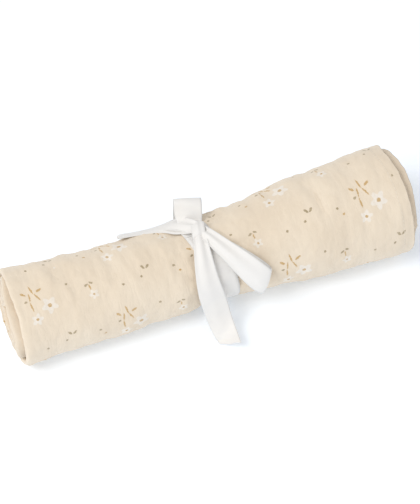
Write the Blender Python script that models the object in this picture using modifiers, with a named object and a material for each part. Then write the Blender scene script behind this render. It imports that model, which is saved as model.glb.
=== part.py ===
"""A muslin swaddle blanket, folded in four, rolled up and tied round its waist with a ribbon bow.

The roll lies along X on the plane z = 0 and its front faces -Y. A place on it is given by x and by
an angle round it: 0 degrees at the front, 90 on top, 180 at the back and 270 underneath. The tables
are in millimetres and degrees, everything else is in metres and radians.
"""

import math
from collections import namedtuple

import bmesh
import bpy
from mathutils import Vector

MM = 0.001

# ---------------------------------------------------------------- sizes of the roll
ROLL_COLUMNS = 54  # faces round the roll
STATIONS = 40  # cross-sections between its two rims
ROLL_LEFT = -145.2 * MM  # the rims of the outermost turn
ROLL_RIGHT = 141.4 * MM
RIM_ROUNDING = 1.6 * MM
FLAT_SINK = 1.1 * MM  # what the roll's own weight flattens underneath
LAYER_STACK = 3.2 * MM  # four folded layers of double muslin
LOOSE_EDGE_ANGLE = math.radians(205)  # where the outermost turn ends, low at the back
LOOSE_EDGE_SPREAD = math.radians(70)  # the turn below it rises to full radius over this much
LOOSE_EDGE_WIDTH = math.radians(1.2)
STILL_SHARE = 0.6  # inside this share of the radius the ends keep clear of the surface's folds

Section = namedtuple("Section", "x radius lift")
ROLL_SECTIONS = (
    Section(-143, 34.4, 0.0),
    Section(-112, 33.5, 0.0),
    Section(-77, 32.7, 0.0),
    Section(-49, 32.0, 0.0),
    Section(-26, 30.8, 1.0),
    Section(-14, 29.9, 2.9),
    Section(-5, 29.7, 3.9),
    Section(4, 29.8, 4.6),
    Section(12, 30.3, 4.2),
    Section(23, 31.9, 2.8),
    Section(36, 32.7, 1.7),
    Section(48, 34.7, 0.9),
    Section(61, 36.4, 0.4),
    Section(88, 38.2, 0.0),
    Section(119, 39.8, 0.0),
    Section(134, 40.6, 0.0),
    Section(146, 40.6, 0.0),
)

# Each end from its rim inwards: a share of the radius, and how far the ring there stands out.
Ring = namedtuple("Ring", "share out")
LEFT_RINGS = (
    Ring(0.992, 0.0),
    Ring(0.968, 0.9),
    Ring(0.938, 0.5),
    Ring(0.918, -2.6),
    Ring(0.895, 0.4),
    Ring(0.860, 3.0),
    Ring(0.800, 3.6),
    Ring(0.720, 2.2),
    Ring(0.640, 3.0),
    Ring(0.500, 1.8),
    Ring(0.350, 1.4),
    Ring(0.200, -1.6),
    Ring(0.000, -4.0),
)
RIGHT_RINGS = (
    Ring(0.992, 0.0),
    Ring(0.962, 0.9),
    Ring(0.926, 0.2),
    Ring(0.910, 1.6),
    Ring(0.902, 4.6),
    Ring(0.880, 6.8),
    Ring(0.840, 7.5),
    Ring(0.770, 5.4),
    Ring(0.680, 8.2),
    Ring(0.540, 7.2),
    Ring(0.380, 7.8),
    Ring(0.200, 4.2),
    Ring(0.000, 1.6),
)

# An end leans: it stands out most at the angle "peak", the outermost turn and the turns inside it
# by their own amounts, and this fades over "reach" along the roll.
Lean = namedtuple("Lean", "peak outer inner reach")
LEFT_LEAN = Lean(40, 2.4, 4.2, 26)
RIGHT_LEAN = Lean(250, 0.8, 1.0, 20)

# Gathers that the tie draws in, each with how far it runs to the left and to the right of the tie.
Gather = namedtuple("Gather", "angle depth width left right")
GATHERS = (
    Gather(-62, 0.9, 8, 14, 26),
    Gather(-28, 1.1, 7, 12, 22),
    Gather(4, 1.3, 8, 18, 30),
    Gather(33, 1.0, 6, 26, 22),
    Gather(58, 1.5, 7, 20, 30),
    Gather(84, 0.9, 6, 12, 26),
    Gather(108, 1.4, 8, 24, 18),
    Gather(139, 1.0, 7, 14, 24),
    Gather(166, 1.3, 9, 20, 20),
    Gather(196, 0.9, 7, 12, 18),
)

# Soft creases on the roll, each from one place to another.
Crease = namedtuple("Crease", "x0 angle0 x1 angle1 depth width")
CREASES = (
    Crease(-75, 90, -73, 62, 0.9, 4.5),
    Crease(-112, 96, -92, 40, 0.6, 6.0),
    Crease(-40, 78, -22, 34, 0.8, 5.0),
    Crease(78, 98, 81, 62, 1.2, 4.5),
    Crease(95, 56, 96, 10, 0.7, 5.0),
    Crease(25, 45, 31, 12, 1.5, 6.0),
    Crease(104, 74, 110, 24, 0.7, 5.5),
    Crease(-98, 168, -70, 132, 0.6, 6.0),
    Crease(52, 170, 92, 150, 0.7, 6.5),
)

# ---------------------------------------------------------------- sizes of the ribbon
RIBBON_WIDTH = 20 * MM
RIBBON_THICKNESS = 1.0 * MM
SEAT_GAP = 0.4 * MM  # between the roll and the ribbon that lies on it
FLOOR_GAP = 0.2 * MM  # under a free end that lies on the floor
OVER_BAND = 2.4 * MM  # height over the roll of a piece of ribbon that crosses the band
BAND_MIDDLE = -4.4 * MM
BAND_SLANT = 7.0 * MM  # how far the band swings to each side of its middle
BAND_SLANT_ANGLE = math.radians(-20)  # where it is furthest right
BAND_STEPS = 54
LOOP_STEPS = 36
TAIL_STEPS = 26
STRIP_COLUMNS = 3
END_SLANT = 5 * MM  # each free end is cut at a slant
CUT_STEPS = 6  # the steps before the end that shorten for it

# The knot: half its size along the roll, round it and outwards.
KNOT_HALF = Vector((5.8, 6.6, 4.4)) * MM
KNOT_X = -6.8 * MM
KNOT_ANGLE = math.radians(88)
KNOT_HEIGHT = 4.6 * MM
KNOT_SQUARENESS = 0.75

# Routes of the bow: a place on the roll, a height over it, a share of the ribbon's width, and
# which way its width lies there, in degrees from the roll's length towards the way round.
Hold = namedtuple("Hold", "x angle height width turn")
RIGHT_LOOP = (
    Hold(-6.8, 88, 3.2, 0.45, 35),
    Hold(-3.0, 76, 3.0, 0.60, 35),
    Hold(3.0, 60, 2.8, 0.85, 36),
    Hold(10.5, 42, 2.6, 1.00, 38),
    Hold(18.6, 25, 2.6, 1.00, 44),
    Hold(24.6, 12, 3.0, 1.00, 52),
    Hold(27.8, 6, 4.2, 0.98, 58),
    Hold(28.7, 4, 6.4, 0.97, 60),
    Hold(27.4, 7, 8.4, 0.98, 58),
    Hold(23.6, 15, 9.0, 1.00, 52),
    Hold(17.4, 28, 8.2, 1.00, 44),
    Hold(9.5, 45, 7.2, 0.95, 38),
    Hold(2.0, 63, 6.4, 0.80, 36),
    Hold(-3.4, 78, 5.8, 0.60, 35),
    Hold(-6.8, 88, 5.4, 0.42, 35),
)
LEFT_LOOP = (
    Hold(-6.8, 90, 3.0, 0.45, 40),
    Hold(-11.5, 97, 2.6, 0.62, 42),
    Hold(-18.0, 110, 2.2, 0.85, 48),
    Hold(-26.0, 124, 2.0, 1.00, 60),
    Hold(-36.0, 134, 1.8, 1.00, 72),
    Hold(-46.0, 139, 1.8, 1.00, 78),
    Hold(-54.0, 141, 2.2, 1.00, 80),
    Hold(-57.6, 142, 3.6, 1.00, 80),
    Hold(-54.6, 141, 5.0, 1.00, 80),
    Hold(-46.0, 139, 5.2, 1.00, 78),
    Hold(-35.0, 133, 5.2, 1.00, 72),
    Hold(-25.0, 123, 5.4, 1.00, 60),
    Hold(-17.0, 108, 5.6, 0.80, 48),
    Hold(-11.0, 96, 5.6, 0.60, 42),
    Hold(-6.8, 90, 5.4, 0.42, 40),
)

# Routes of the two free ends, which leave the roll and reach the floor: a point, a share of the
# ribbon's width, and how far its width turns there from the roll's length towards the back.
Stop = namedtuple("Stop", "x y z width turn")
FRONT_TAIL = (
    Stop(-7.0, -2.0, 68.0, 0.50, 0),
    Stop(-9.5, -12.0, 66.5, 0.66, 0),
    Stop(-11.4, -22.0, 60.5, 0.84, 0),
    Stop(-11.8, -30.0, 50.0, 0.94, 0),
    Stop(-10.8, -35.0, 38.0, 1.00, 0),
    Stop(-8.7, -37.2, 27.0, 0.97, 0),
    Stop(-6.5, -40.5, 15.5, 0.94, -4),
    Stop(-4.9, -46.0, 5.4, 0.92, -10),
    Stop(-3.8, -52.6, 1.2, 0.90, -14),
    Stop(-3.3, -58.2, 0.8, 0.90, -16),
)
BACK_TAIL = (
    Stop(-6.8, 2.0, 68.6, 0.55, -8),
    Stop(-7.8, 6.0, 71.6, 0.86, -16),
    Stop(-7.4, 11.5, 74.0, 0.93, -20),
    Stop(-6.4, 17.0, 74.6, 0.94, -20),
    Stop(-5.0, 23.6, 72.6, 0.95, -18),
    Stop(-3.8, 30.5, 66.4, 0.97, -14),
    Stop(-3.2, 36.4, 56.4, 1.00, -9),
    Stop(-2.8, 40.8, 45.0, 1.00, -4),
    Stop(-2.2, 44.4, 33.6, 1.00, 0),
    Stop(-1.4, 48.0, 22.0, 1.00, 0),
    Stop(-0.6, 51.8, 10.8, 1.00, 0),
    Stop(0.2, 55.8, 2.4, 1.00, 0),
    Stop(1.0, 60.5, 0.8, 1.00, 0),
)

NAME = "swaddle_blanket"


# ---------------------------------------------------------------- curves and materials
def smooth_row(rows, keys, where):
    """The row at `where` on a smooth curve through the rows, whose places on it are the keys."""
    where = min(max(where, keys[0]), keys[-1])
    high = next(i for i, key in enumerate(keys) if key >= where) or 1
    low = high - 1
    before, after = max(low - 1, 0), min(high + 1, len(rows) - 1)
    span = keys[high] - keys[low]
    t = (where - keys[low]) / span
    values = []
    for column in range(len(rows[0])):
        start, end = rows[low][column], rows[high][column]
        slope_in = span * (end - rows[before][column]) / (keys[high] - keys[before])
        slope_out = span * (rows[after][column] - start) / (keys[after] - keys[low])
        values.append(
            start * (1 + 2 * t) * (1 - t) ** 2
            + slope_in * t * (1 - t) ** 2
            + end * t**2 * (3 - 2 * t)
            + slope_out * t**2 * (t - 1)
        )
    return type(rows[0])(*values)


def smooth_step(value):
    value = min(max(value, 0.0), 1.0)
    return value * value * (3 - 2 * value)


def angle_apart(one, other):
    """The turn from the other angle to the one, between half a turn back and half a turn on."""
    return (one - other + math.pi) % (2 * math.pi) - math.pi


def make_material(name, colour, roughness, sheen):
    material = bpy.data.materials.new(name)
    material.use_nodes = True
    shader = material.node_tree.nodes["Principled BSDF"]
    shader.inputs["Base Color"].default_value = (*colour, 1.0)
    shader.inputs["Roughness"].default_value = roughness
    shader.inputs["Metallic"].default_value = 0.0
    shader.inputs["Sheen Weight"].default_value = sheen
    material.diffuse_color = (*colour, 1.0)
    return material


def make_object(name, shape, collection):
    """An object in the collection that takes over a finished bmesh."""
    mesh = bpy.data.meshes.new(name)
    shape.to_mesh(mesh)
    shape.free()
    thing = bpy.data.objects.new(name, mesh)
    collection.objects.link(thing)
    return thing


# ---------------------------------------------------------------- the roll's surface
def section_at(x):
    """Radius and lift off the floor of the plain roll at x."""
    row = smooth_row(ROLL_SECTIONS, [section.x for section in ROLL_SECTIONS], x / MM)
    return row.radius * MM, row.lift * MM


def round_the_roll(x, angle, height, share=1.0):
    """The point at a height over the plain roll, or at a share of its radius within it."""
    radius, lift = section_at(x)
    reach = radius * share + height
    middle = lift + radius - FLAT_SINK
    return Vector((x, -reach * math.cos(angle), middle + reach * math.sin(angle)))


def band_x(angle):
    """The middle of the tied band at an angle round the roll."""
    return BAND_MIDDLE + BAND_SLANT * math.cos(angle - BAND_SLANT_ANGLE)


def crease_depth(crease, x, angle, radius):
    """How deep a crease is at a place: full along its line, fading beside and past it."""
    start = Vector((crease.x0 * MM, math.radians(crease.angle0) * radius))
    end = Vector((crease.x1 * MM, math.radians(crease.angle1) * radius))
    middle = (start.y + end.y) / 2
    here = Vector((x, middle + angle_apart(angle, middle / radius) * radius))
    along = end - start
    share = min(max((here - start).dot(along) / along.length_squared, 0.0), 1.0)
    away = (here - start - along * share).length / (crease.width * MM)
    return crease.depth * MM * math.exp(-away * away)


def gather_depth(gather, x, angle):
    """How deep a gather is at a place: deepest at the tie, wider and shallower away from it."""
    from_tie = x - band_x(angle)
    reach = (gather.right if from_tie > 0 else gather.left) * MM
    fade = math.exp(-((from_tie / reach) ** 2))
    width = math.radians(gather.width) * (1.8 - 0.8 * fade)
    off = angle_apart(angle, math.radians(gather.angle)) / width
    return gather.depth * MM * fade * math.exp(-off * off)


def loose_edge_drop(angle):
    """How far the surface lies inside the full radius, past the edge of the outermost turn."""
    past = (angle - LOOSE_EDGE_ANGLE) % (2 * math.pi)
    return LAYER_STACK * (1 - smooth_step(past / LOOSE_EDGE_SPREAD))


def fold_depth(x, angle):
    """How far the roll's surface with its folds lies inside the plain roll."""
    radius = section_at(x)[0]
    depth = loose_edge_drop(angle)
    depth += sum(gather_depth(gather, x, angle) for gather in GATHERS)
    depth += sum(crease_depth(crease, x, angle, radius) for crease in CREASES)
    return depth


def rim_shift(x, angle, share):
    """How far a point near an end moves along X because that end leans."""
    if x < 0:
        lean, side, from_rim = LEFT_LEAN, -1, x - ROLL_LEFT
    else:
        lean, side, from_rim = RIGHT_LEAN, 1, ROLL_RIGHT - x
    amount = lean.outer if share > 0.9 else lean.inner * share / 0.9
    swing = math.cos(angle - math.radians(lean.peak))
    return side * amount * MM * swing * smooth_step(1 - from_rim / (lean.reach * MM))


def shape_roll_vertex(vertex):
    """Move a vertex of the plain turned form to its place on the folded roll."""
    x = vertex.co.x
    share = math.hypot(vertex.co.y, vertex.co.z)
    turned = math.atan2(vertex.co.z, -vertex.co.y) - LOOSE_EDGE_ANGLE
    column = round(turned / (2 * math.pi) * ROLL_COLUMNS) % ROLL_COLUMNS
    opened = (2 * math.pi - LOOSE_EDGE_WIDTH) / (ROLL_COLUMNS - 1)
    angle = LOOSE_EDGE_ANGLE + column * opened
    follow = max(share - STILL_SHARE, 0.0) / (1 - STILL_SHARE)
    point = round_the_roll(x, angle, -fold_depth(x, angle) * follow, share)
    point.x += rim_shift(x, angle, share)
    point.z = max(point.z, 0.0)
    vertex.co = point


def make_roll(collection):
    """The wound blanket: a turned form with stepped ends, moved to its folds."""
    first, last = ROLL_LEFT + RIM_ROUNDING, ROLL_RIGHT - RIM_ROUNDING
    profile = [(ROLL_LEFT - ring.out * MM, ring.share) for ring in reversed(LEFT_RINGS)]
    profile += [(first + (last - first) * n / (STATIONS - 1), 1.0) for n in range(STATIONS)]
    profile += [(ROLL_RIGHT + ring.out * MM, ring.share) for ring in RIGHT_RINGS]

    shape = bmesh.new()
    start = Vector((0, -math.cos(LOOSE_EDGE_ANGLE), math.sin(LOOSE_EDGE_ANGLE)))
    corners = [shape.verts.new(Vector((x, 0, 0)) + start * share) for x, share in profile]
    for corner, following in zip(corners, corners[1:]):
        shape.edges.new((corner, following))
    bmesh.ops.spin(
        shape,
        geom=shape.verts[:] + shape.edges[:],
        cent=(0, 0, 0),
        axis=(-1, 0, 0),
        angle=2 * math.pi,
        steps=ROLL_COLUMNS,
        use_merge=True,
    )
    bmesh.ops.remove_doubles(shape, verts=shape.verts, dist=1e-6)
    for vertex in shape.verts:
        shape_roll_vertex(vertex)
    bmesh.ops.recalc_face_normals(shape, faces=shape.faces)
    roll = make_object("muslin_roll", shape, collection)
    roll.data.shade_smooth()
    roll.data.materials.append(make_material("muslin", (0.83, 0.72, 0.58), 0.9, 0.3))
    return roll


# ---------------------------------------------------------------- the ribbon's pieces
def thicken(piece):
    """Give an open strip of ribbon its thickness, half of it to each side."""
    wall = piece.modifiers.new("thickness", "SOLIDIFY")
    wall.thickness = RIBBON_THICKNESS
    wall.offset = 0.0
    return piece


def make_strip(name, steps, columns, place, collection):
    """A strip of ribbon: `place(step, across)` puts each point, with across from -0.5 to 0.5."""
    shape = bmesh.new()
    bmesh.ops.create_grid(shape, x_segments=steps, y_segments=columns, size=0.5)
    for vertex in shape.verts:
        vertex.co = place((vertex.co.x + 0.5) * steps, vertex.co.y)
    bmesh.ops.remove_doubles(shape, verts=shape.verts, dist=1e-6)
    return thicken(make_object(name, shape, collection))


def make_band(collection):
    """The closed band round the waist."""

    def place(step, across):
        angle = 2 * math.pi * round(step) / BAND_STEPS
        x = band_x(angle) + across * RIBBON_WIDTH
        return round_the_roll(x, angle % (2 * math.pi), SEAT_GAP + RIBBON_THICKNESS / 2)

    return make_strip("band", BAND_STEPS, 2, place, collection)


def make_loop(name, route, collection):
    """A loop of the bow that lies on the roll and comes back over itself."""

    def place(step, across):
        hold = smooth_row(route, range(len(route)), step / LOOP_STEPS * (len(route) - 1))
        off = across * RIBBON_WIDTH * hold.width
        turn = math.radians(hold.turn)
        x = hold.x * MM + off * math.cos(turn)
        angle = math.radians(hold.angle) + off * math.sin(turn) / section_at(x)[0]
        return round_the_roll(x, angle, hold.height * MM)

    return make_strip(name, LOOP_STEPS, STRIP_COLUMNS, place, collection)


def clear_of_roll(point):
    """The point, or the nearest one that passes over the band and stays on the floor."""
    radius, lift = section_at(point.x)
    middle = Vector((point.x, 0, lift + radius - FLAT_SINK))
    out = point - middle
    if out.length < radius + OVER_BAND:
        point = middle + out.normalized() * (radius + OVER_BAND)
    point.z = max(point.z, FLOOR_GAP + RIBBON_THICKNESS / 2)
    return point


def make_tail(name, route, collection):
    """A free end of the ribbon."""

    def place(step, across):
        stop = smooth_row(route, range(len(route)), step / TAIL_STEPS * (len(route) - 1))
        cut = END_SLANT * (0.5 - across) * smooth_step(1 - (TAIL_STEPS - step) / CUT_STEPS)
        off = across * RIBBON_WIDTH * stop.width
        turn = math.radians(stop.turn)
        point = Vector((stop.x, stop.y, stop.z)) * MM
        point.x += off * math.cos(turn)
        point.y += off * math.sin(turn) - math.copysign(cut, stop.y)
        return clear_of_roll(point)

    return make_strip(name, TAIL_STEPS, STRIP_COLUMNS, place, collection)


def make_knot(collection):
    """The knot in the middle of the bow."""
    shape = bmesh.new()
    bmesh.ops.create_uvsphere(shape, u_segments=16, v_segments=10, radius=1.0)
    out = Vector((0, -math.cos(KNOT_ANGLE), math.sin(KNOT_ANGLE)))
    around = Vector((0, out.z, -out.y))
    seat = round_the_roll(KNOT_X, KNOT_ANGLE, KNOT_HEIGHT)
    for vertex in shape.verts:
        x, y, z = (math.copysign(abs(c) ** KNOT_SQUARENESS, c) for c in vertex.co)
        vertex.co = seat + Vector((x * KNOT_HALF.x, 0, 0))
        vertex.co += around * (y * KNOT_HALF.y) + out * (z * KNOT_HALF.z)
    bmesh.ops.recalc_face_normals(shape, faces=shape.faces)
    return make_object("knot", shape, collection)


def make_ribbon(collection, pieces):
    """One ribbon: the band, the knot, two loops and two free ends in one solid."""
    ribbon = make_band(collection)
    ribbon.name = ribbon.data.name = "ribbon_bow"
    ribbon.data.materials.append(make_material("ribbon", (0.95, 0.95, 0.94), 0.6, 0.1))
    joined = (
        make_knot(pieces),
        make_loop("right_loop", RIGHT_LOOP, pieces),
        make_loop("left_loop", LEFT_LOOP, pieces),
        make_tail("front_tail", FRONT_TAIL, pieces),
        make_tail("back_tail", BACK_TAIL, pieces),
    )
    for piece in joined:
        piece.hide_render = True
        piece.display_type = "WIRE"
        join = ribbon.modifiers.new(piece.name, "BOOLEAN")
        join.operation = "UNION"
        join.solver = "EXACT"
        join.object = piece
    return ribbon


def main():
    for thing in list(bpy.data.objects):
        bpy.data.objects.remove(thing, do_unlink=True)
    parts = bpy.data.collections.new(NAME)
    pieces = bpy.data.collections.new(NAME + "_cutters")
    for collection in (parts, pieces):
        bpy.context.scene.collection.children.link(collection)
    make_roll(parts)
    make_ribbon(parts, pieces)


main()
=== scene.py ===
"""A muslin swaddle blanket, folded in four, rolled up and tied round its waist with a ribbon bow.

The roll lies along X and its front faces -Y. A place on it is given by x and by an angle round it:
0 degrees at the front, 90 on top, 180 at the back and 270 underneath. The tables are in
millimetres and degrees, everything else is in metres and radians.
"""

import math
from collections import namedtuple
from functools import partial

import bmesh
import bpy
import numpy as np
from bpy.props import FloatProperty, FloatVectorProperty, PointerProperty
from mathutils import Matrix, Vector, noise


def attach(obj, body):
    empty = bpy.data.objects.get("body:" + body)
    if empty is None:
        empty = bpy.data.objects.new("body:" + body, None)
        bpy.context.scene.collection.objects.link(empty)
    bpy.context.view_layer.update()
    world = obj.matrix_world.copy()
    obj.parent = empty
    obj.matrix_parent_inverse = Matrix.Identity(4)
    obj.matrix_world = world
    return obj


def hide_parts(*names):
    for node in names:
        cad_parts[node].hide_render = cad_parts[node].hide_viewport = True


bl_info = {
    "name": "Rolled Swaddle Blanket",
    "version": (1, 0, 0),
    "blender": (4, 5, 0),
    "location": "3D View > Sidebar > Swaddle",
    "description": "Makes a rolled muslin blanket tied with a ribbon bow, and its studio",
    "category": "Object",
}

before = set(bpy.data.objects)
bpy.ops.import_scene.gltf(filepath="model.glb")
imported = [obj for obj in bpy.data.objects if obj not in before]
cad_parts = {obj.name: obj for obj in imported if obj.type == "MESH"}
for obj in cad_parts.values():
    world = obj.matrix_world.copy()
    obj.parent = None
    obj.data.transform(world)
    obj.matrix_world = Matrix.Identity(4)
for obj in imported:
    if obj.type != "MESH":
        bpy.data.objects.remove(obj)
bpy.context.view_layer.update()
MM = 0.001
ROUNDING = 1e-6  # what a place read back from a mesh may be off by

# -------------------------------- the roll
ROLL_LEFT = -145.2 * MM  # the rims of the outermost turn
ROLL_RIGHT = 141.4 * MM
FLAT_SINK = 1.1 * MM  # what the roll's own weight flattens underneath
LOOSE_EDGE_ANGLE = math.radians(205)  # where the outermost turn ends, low at the back
LOOSE_EDGE_SPREAD = math.radians(70)  # the turn below it rises to full radius over this much
STILL_SHARE = 0.6  # inside this share of the radius the turns don't follow the folds outside

# The roll without its folds: its radius, and how far it is lifted off the floor.
Section = namedtuple("Section", "x radius lift")
ROLL_SECTIONS = (
    Section(-143, 34.4, 0.0),
    Section(-112, 33.5, 0.0),
    Section(-77, 32.7, 0.0),
    Section(-49, 32.0, 0.0),
    Section(-26, 30.8, 1.0),
    Section(-14, 29.9, 2.9),
    Section(-5, 29.7, 3.9),
    Section(4, 29.8, 4.6),
    Section(12, 30.3, 4.2),
    Section(23, 31.9, 2.8),
    Section(36, 32.7, 1.7),
    Section(48, 34.7, 0.9),
    Section(61, 36.4, 0.4),
    Section(88, 38.2, 0.0),
    Section(119, 39.8, 0.0),
    Section(134, 40.6, 0.0),
    Section(146, 40.6, 0.0),
)

# How far the turns stand out past the rims at each end, by how far the cloth has wound inwards
# from its loose edge.
Tip = namedtuple("Tip", "wound out")
LEFT_TIPS = (
    Tip(0, 0.4),
    Tip(74, 0.2),
    Tip(100, 0.9),
    Tip(130, 1.3),
    Tip(165, 1.9),
    Tip(200, 2.1),
    Tip(260, 2.0),
    Tip(340, 1.0),
    Tip(420, 1.6),
    Tip(465, 4.8),
    Tip(495, 7.0),
    Tip(540, 7.9),
    Tip(575, 6.4),
    Tip(610, 4.2),
    Tip(700, 3.0),
    Tip(790, 4.2),
    Tip(880, 6.4),
    Tip(960, 5.2),
    Tip(1120, 5.0),
    Tip(1270, 6.6),
    Tip(1420, 4.0),
    Tip(1650, 5.6),
    Tip(1860, 3.4),
    Tip(2100, 4.6),
    Tip(2400, 1.8),
    Tip(2750, 2.4),
    Tip(3150, -0.6),
    Tip(3600, -2.4),
)
RIGHT_TIPS = (
    Tip(0, 0.6),
    Tip(71, 0.2),
    Tip(97, -0.8),
    Tip(125, -0.2),
    Tip(160, 0.3),
    Tip(190, 0.9),
    Tip(218, 2.2),
    Tip(260, 2.0),
    Tip(340, 1.4),
    Tip(420, 3.6),
    Tip(451, 5.8),
    Tip(490, 7.1),
    Tip(525, 6.6),
    Tip(560, 6.0),
    Tip(600, 6.2),
    Tip(680, 4.4),
    Tip(790, 6.8),
    Tip(900, 5.0),
    Tip(1050, 8.2),
    Tip(1220, 6.0),
    Tip(1420, 7.8),
    Tip(1650, 5.4),
    Tip(1900, 7.4),
    Tip(2200, 5.8),
    Tip(2520, 6.2),
    Tip(2900, 3.6),
    Tip(3300, 2.6),
    Tip(3600, 0.8),
)
TIP_REACH = 26 * MM  # how far along the roll a turn is drawn out with its tip

# Gathers that the tie draws in, each with how far it runs to the left and to the right of the tie.
# Away from the tie a gather grows wider, up to GATHER_SPREAD times its width.
Gather = namedtuple("Gather", "angle depth width left right")
GATHERS = (
    Gather(-62, 0.9, 8, 14, 26),
    Gather(-28, 1.1, 7, 12, 22),
    Gather(4, 1.3, 8, 18, 30),
    Gather(33, 1.0, 6, 26, 22),
    Gather(58, 1.5, 7, 20, 30),
    Gather(84, 0.9, 6, 12, 26),
    Gather(108, 1.4, 8, 24, 18),
    Gather(139, 1.0, 7, 14, 24),
    Gather(166, 1.3, 9, 20, 20),
    Gather(196, 0.9, 7, 12, 18),
)
GATHER_SHARPNESS = 1.35  # how much deeper and narrower the gathers are than on the solid
GATHER_SPREAD = 1.8

# Soft creases on the roll, each from one place to another. A negative depth is a ridge.
Crease = namedtuple("Crease", "x0 angle0 x1 angle1 depth width")
CREASES = (
    Crease(-75, 90, -73, 62, 0.9, 4.5),
    Crease(-112, 96, -92, 40, 0.6, 6.0),
    Crease(-40, 78, -22, 34, 0.8, 5.0),
    Crease(78, 98, 81, 62, 1.2, 4.5),
    Crease(95, 56, 96, 10, 0.7, 5.0),
    Crease(25, 45, 31, 12, 1.5, 6.0),
    Crease(104, 74, 110, 24, 0.7, 5.5),
    Crease(-98, 168, -70, 132, 0.6, 6.0),
    Crease(52, 170, 92, 150, 0.7, 6.5),
    Crease(-44, 142, -18, 138, -1.6, 7.0),
    Crease(6, 145, 14, 139, -2.5, 6.0),
)

# -------------------------------- the cloth, folded and wound
TURN_SHARE = 0.092  # one turn's share of the roll's radius
TURN_COUNT = 10
SETTLED_TURN = 2  # from here on the cloth winds inwards evenly
MEAN_RADIUS = 34.6 * MM
OUTSIDE = 1.02 * math.tau  # the outermost turn, and the little of the next that shows
INNER_FROM = math.radians(335)  # from here on the cloth comes to lie inside the outermost turn
INNER_SPREAD = math.radians(90)
LEFT_TIGHTER = 0.075  # how much smaller the turns inside the outermost one are at the left end
RIGHT_TIGHTER = 0.02
TIGHTER_REACH = 45 * MM
UNDERNEATH = 0.5  # how much of their distance from the outside the turns keep to the floor

LAYER_SHARE = 0.22  # from one folded layer to the next, as a share of a turn
LAYER_CLEARANCE = 0.25 * MM  # between the outside layer and the others, besides that
PUFF = 0.5 * MM  # how far apart the layers stand where they are folded at the left end
PUFF_REACH = 9 * MM
MIDDLE_LAYER = 1.5  # the inner turns puff up to both sides of it
FOLD_BULGE = 2.2  # how far the outer fold at the left end stands past its layers, in millimetres

HEM = 9 * MM
HEM_GAP = 0.35 * MM  # between the hem and the cloth that it is turned under
HEM_OPENING = 1 * MM  # the gap is open this far from the edge
STITCH = 2.6 * MM  # from one stitch to the next
SEAM_SHARE = 0.86  # where the seam lies across the hem

# Rows and columns of faces on the flat cloth.
FINE_TURNS = 2  # the turns that show at the ends
FINE_STEP = 3.0  # degrees round the roll, on those turns
COARSE_STEP = 5.5 * MM  # along the cloth further in, but never more than the turn below
COARSE_TURN = math.radians(18)
EDGE_STEP = 0.7 * MM  # round the bend of the loose edge's hem
SIDE_STEPS = np.array([-1.4, -0.5, 0.0, 0.5, 1.4]) * MM  # round the bend of a side hem
LONG_CELL = 6 * MM  # longer cells than this are cut up where they show outside
LONG_CELL_CUTS = 6

# How unevenly the cloth lies: height, fineness along each axis, seed and octaves of soft noise.
# Heights are in millimetres, apart from those of TURN_DRIFT and LOOSENESS, which are shares.
Uneven = namedtuple("Uneven", "height fineness seed octaves", defaults=(2,))
EDGE_RIPPLE = Uneven(0.5, (6, 6, 3), 5)
LEFT_WAVER = Uneven(1.1, (1.3, 1.3, 1.2), 1)
RIGHT_WAVER = Uneven(1.1, (1.3, 1.3, 1.2), 2)
TURN_DRIFT = Uneven(0.30, (1.1, 1.1, 1), 6)
LOOSENESS = Uneven(0.5, (1.8, 1.8, 2.2), 7)
SWELL = Uneven(1.3, (0.045, 0.02, 0.02), 3)
BROAD_RUMPLE = Uneven(0.45, (0.13, 0.03, 0.03), 8)
FINE_RUMPLE = Uneven(0.45, (0.18, 0.10, 0.10), 4, 3)
BAND_RUMPLE = Uneven(0.5, (160, 3, 3), 9)
NOISE_PITCH = 0.35  # how fast the noise changes with the angle that the cloth has wound
NOISE_RADIUS = 34  # of the noise over the outside, in millimetres
DRIFT_INWARDS = 4  # how fast the drift of the turns changes towards the roll's middle line
DRIFT_ALONG = 2.5  # and along the roll

RIM_TO_RIM = (ROLL_RIGHT - ROLL_LEFT) / MM

# The cloth from its right-hand hem across, folded back and forth: the layers that each stretch
# starts and ends in (0 outermost), its places from the right rim (0) to the left one (1), its
# length, how far a bend between two layers bulges, how far it stays short of the right rim, and
# the columns of faces on it.
Stretch = namedtuple("Stretch", "layer0 layer1 place0 place1 length bulge short cells")
STRETCHES = (
    Stretch(0, 0, 0, 1, RIM_TO_RIM, 0.0, 0.0, 30),
    Stretch(0, 3, 1, 1, 6.0, FOLD_BULGE, 0.0, 10),
    Stretch(3, 3, 1, 0, RIM_TO_RIM, 0.0, 1.8, 13),
    Stretch(3, 2, 0, 0, 2.4, 1.0, 1.8, 6),
    Stretch(2, 2, 0, 1, RIM_TO_RIM, 0.0, 1.8, 13),
    Stretch(2, 1, 1, 1, 2.4, 0.9, 0.0, 6),
    Stretch(1, 1, 1, 0, RIM_TO_RIM, 0.0, 0.9, 13),
)

# -------------------------------- the ribbon
RIBBON_WIDTH = 20 * MM
RIBBON_CURL = 0.5 * MM  # how far the middle of the ribbon bulges over its edges
PLEAT = 2.0 * MM  # how high the pleats would stand if the ribbon were drawn together to a line
PLEAT_COUNT = 1.6
PLEAT_PHASE = 0.5
BAND_MIDDLE = -4.4 * MM
BAND_SLANT = 7.0 * MM  # how far the band swings to each side of its middle
BAND_SLANT_ANGLE = math.radians(-20)
BAND_HEIGHT = 0.45 * MM  # over the roll
OVER_BAND = 1.5 * MM  # the free ends stay at least this far over the roll
ABOVE_FLOOR = 0.5 * MM
FRONT_SLANT = 9.5 * MM  # how much shorter the left corner is cut than the right one
BACK_SLANT = 5 * MM
CUT_FROM = 0.75  # the slanted cut draws in the ribbon from this share of its length on

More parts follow.
